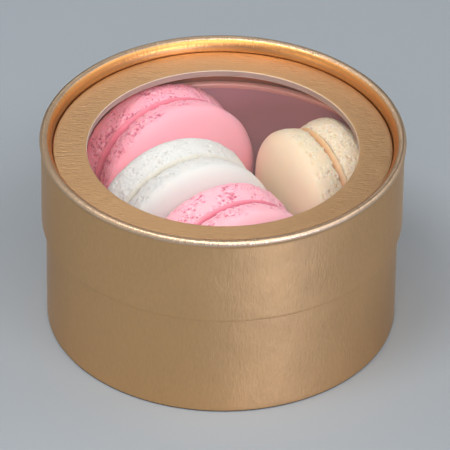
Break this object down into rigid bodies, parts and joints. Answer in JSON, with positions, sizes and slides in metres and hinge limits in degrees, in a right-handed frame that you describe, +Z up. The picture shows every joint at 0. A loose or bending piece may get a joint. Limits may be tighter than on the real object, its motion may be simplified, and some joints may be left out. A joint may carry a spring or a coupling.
{
  "type": "macaron tube box",
  "caption": "Round two-part card box in gold-coloured paper, lid shut over the base, clear window in the recessed lid, almond meringue sandwiches standing on edge inside",
  "frame": {"origin": "middle of the face that the box rests on", "axes": "+Z runs up the tube through the lid's window, and the pictured side faces -Y"},
  "size_m": [0.1108, 0.1108, 0.064],
  "materials": {
    "gold_paper": "satin gold foil paper with a fine embossed grain",
    "mauve_lining": "plain inner liner",
    "clear_film": "clear plastic film",
    "pink_shell": "satin baked meringue",
    "pink_cream": "soft filling",
    "white_shell": "satin baked meringue",
    "white_cream": "soft filling",
    "cream_shell": "satin baked meringue",
    "caramel_cream": "soft filling"
  },
  "bodies": {
    "root": {"lid_wall": "gold_paper", "lid_panel": "gold_paper", "base_wall": "gold_paper", "base_floor": "mauve_lining", "window_film": "clear_film", "macaron_rear_shell_near": "pink_shell", "macaron_rear_shell_far": "pink_shell", "macaron_rear_filling": "pink_cream", "macaron_middle_shell_near": "white_shell", "macaron_middle_shell_far": "white_shell", "macaron_middle_filling": "white_cream", "macaron_front_shell_near": "pink_shell", "macaron_front_shell_far": "pink_shell", "macaron_front_filling": "pink_cream", "macaron_side_shell_near": "cream_shell", "macaron_side_shell_far": "cream_shell", "macaron_side_filling": "caramel_cream"}
  },
  "joints": []
}
